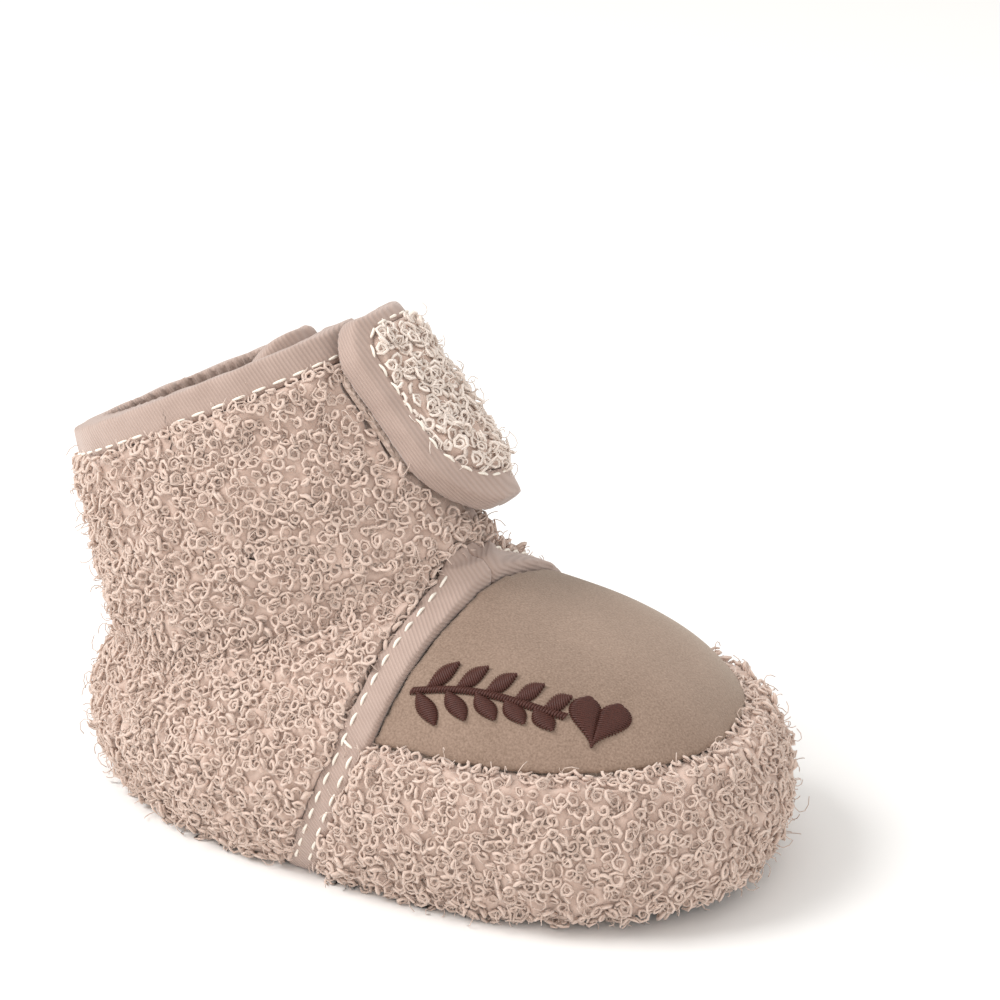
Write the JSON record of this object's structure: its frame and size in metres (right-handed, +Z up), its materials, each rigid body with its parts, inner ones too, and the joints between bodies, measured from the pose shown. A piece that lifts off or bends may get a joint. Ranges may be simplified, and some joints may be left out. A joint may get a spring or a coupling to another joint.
{
  "type": "infant bootie",
  "caption": "Soft curly-pile infant bootie with a suede toe panel, twill bindings, padded tongue, wrap-over hook-and-loop flap and a grip-dotted fabric sole.",
  "frame": {"origin": "middle of the bootie's length and width, on the surface that it stands on", "axes": "+X towards the toe, +Y towards the inner side of the right foot, +Z up"},
  "size_m": [0.1311, 0.0742, 0.0862],
  "materials": {
    "grip_print": "smooth raised print",
    "outsole_fabric": "diagonal twill",
    "foam": "soft foam",
    "plush": "short plush",
    "sherpa": "curly looped pile",
    "suede": "fine nap",
    "stiffener": "stiffened felt",
    "twill": "fine twill",
    "elastic": "woven elastic",
    "loop_tape": "soft loops",
    "hook_tape": "moulded hooks",
    "thread": "satin stitch"
  },
  "bodies": {
    "boot": {"grip_dots": "grip_print", "outsole": "outsole_fabric", "midsole_foam": "foam", "footbed": "plush", "toe_wall": "sherpa", "toe_panel": "suede", "toe_lining": "plush", "near_quarter": "sherpa", "far_quarter": "sherpa", "heel_counter": "stiffener", "quarter_lining": "plush", "near_front_binding": "twill", "far_front_binding": "twill", "collar_binding": "twill", "collar_elastic": "elastic", "embroidered_sprig": "thread", "embroidered_heart": "thread"},
    "under_panel_body": {"under_panel": "sherpa", "under_panel_lining": "plush", "under_panel_binding": "twill", "loop_patch": "loop_tape"},
    "flap_body": {"flap": "sherpa", "flap_lining": "plush", "flap_binding": "twill", "hook_patch": "hook_tape"},
    "tongue_body": {"tongue_face": "suede", "tongue_padding": "foam", "tongue_binding": "twill"}
  },
  "joints": [
    {"name": "flap_open", "type": "hinge", "parent": "boot", "child": "flap_body", "pos_m": [-0.03576, 0.0246, 0.0736], "axis": [-0.4271, -0.126, 0.8954], "range_deg": [0, 120]},
    {"name": "under_panel_open", "type": "hinge", "parent": "boot", "child": "under_panel_body", "pos_m": [-0.03576, -0.0241, 0.0736], "axis": [0.4271, -0.126, -0.8954], "range_deg": [0, 72]},
    {"name": "tongue_tip", "type": "hinge", "parent": "boot", "child": "tongue_body", "pos_m": [-0.001, 0, 0.0515], "axis": [0, 1, 0], "range_deg": [0, 24]}
  ],
  "couplings": [
    {"joint": "under_panel_open", "follows": "flap_open", "ratio": 0.6},
    {"joint": "tongue_tip", "follows": "flap_open", "ratio": 0.2}
  ]
}
